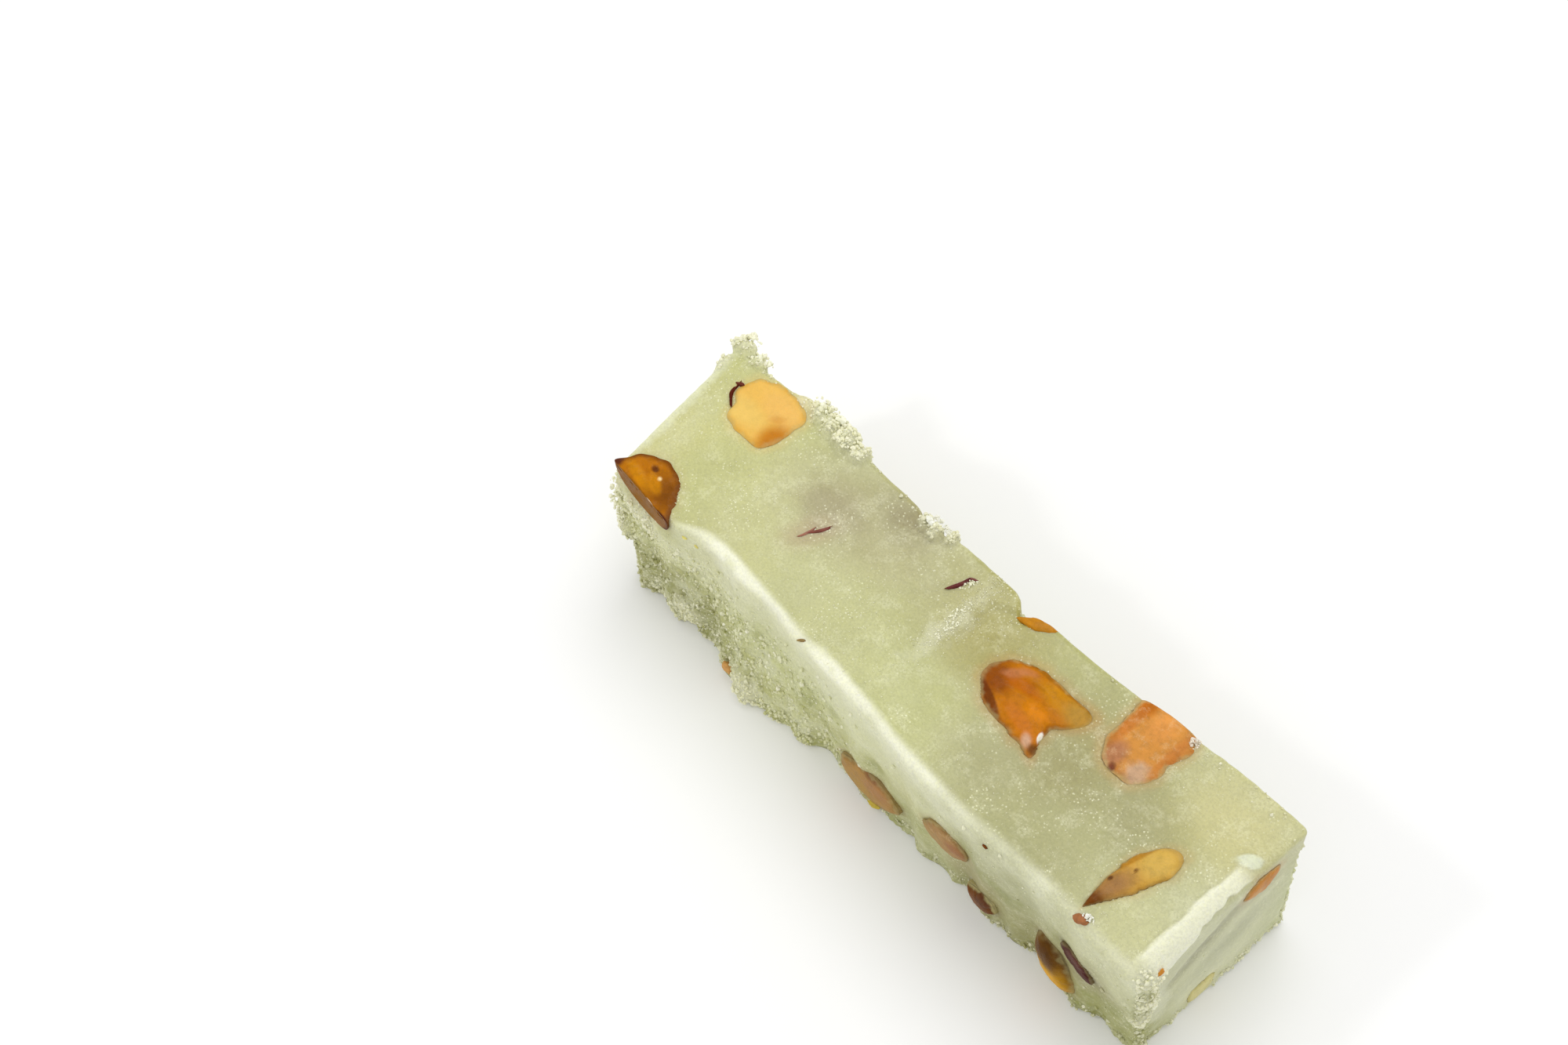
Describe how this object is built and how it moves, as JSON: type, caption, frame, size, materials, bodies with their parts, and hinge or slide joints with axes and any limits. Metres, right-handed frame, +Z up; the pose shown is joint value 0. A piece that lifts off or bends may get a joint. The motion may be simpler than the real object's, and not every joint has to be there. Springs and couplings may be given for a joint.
{
  "type": "pistachio nougat bar",
  "caption": "Cut bar of pale green pistachio nougat lying flat, smooth top, crumbly cut sides, roasted pistachio kernels showing on the top, sides and ends.",
  "frame": {"origin": "bottom centre of the bar's bounding box, on the surface it lies on", "axes": "+X along the bar towards its squarer near end, -Y out of the cut side with the kernels at its foot, +Z up through the smooth top"},
  "size_m": [0.1024, 0.0303, 0.0275],
  "materials": {
    "nougat": "waxy, translucent pale green, with sugar sparkle",
    "kernel_amber": "glossy roasted amber",
    "kernel_pale": "satin pale yellow",
    "kernel_orange": "glossy orange brown",
    "kernel_rosy": "rough orange pink",
    "kernel_straw": "satin straw yellow",
    "kernel_brown": "dark red brown",
    "kernel_green": "olive green and brown",
    "kernel_pale_green": "pale yellow green",
    "kernel_skin": "dark purple skin"
  },
  "bodies": {
    "root": {"nougat_slab": "nougat", "kernel_corner": "kernel_amber", "kernel_pale": "kernel_pale", "kernel_split": "kernel_orange", "kernel_rosy": "kernel_rosy", "kernel_leaf": "kernel_straw", "kernel_low_long": "kernel_straw", "kernel_low_rosy": "kernel_rosy", "kernel_foot_brown": "kernel_brown", "kernel_foot_green": "kernel_green", "skin_purple": "kernel_skin", "kernel_end_orange": "kernel_orange", "kernel_end_green": "kernel_pale_green", "kernel_back_amber": "kernel_amber", "kernel_back_green": "kernel_green", "kernel_back_orange": "kernel_orange", "kernel_back_rosy": "kernel_rosy", "kernel_far_pale": "kernel_pale"}
  },
  "joints": []
}
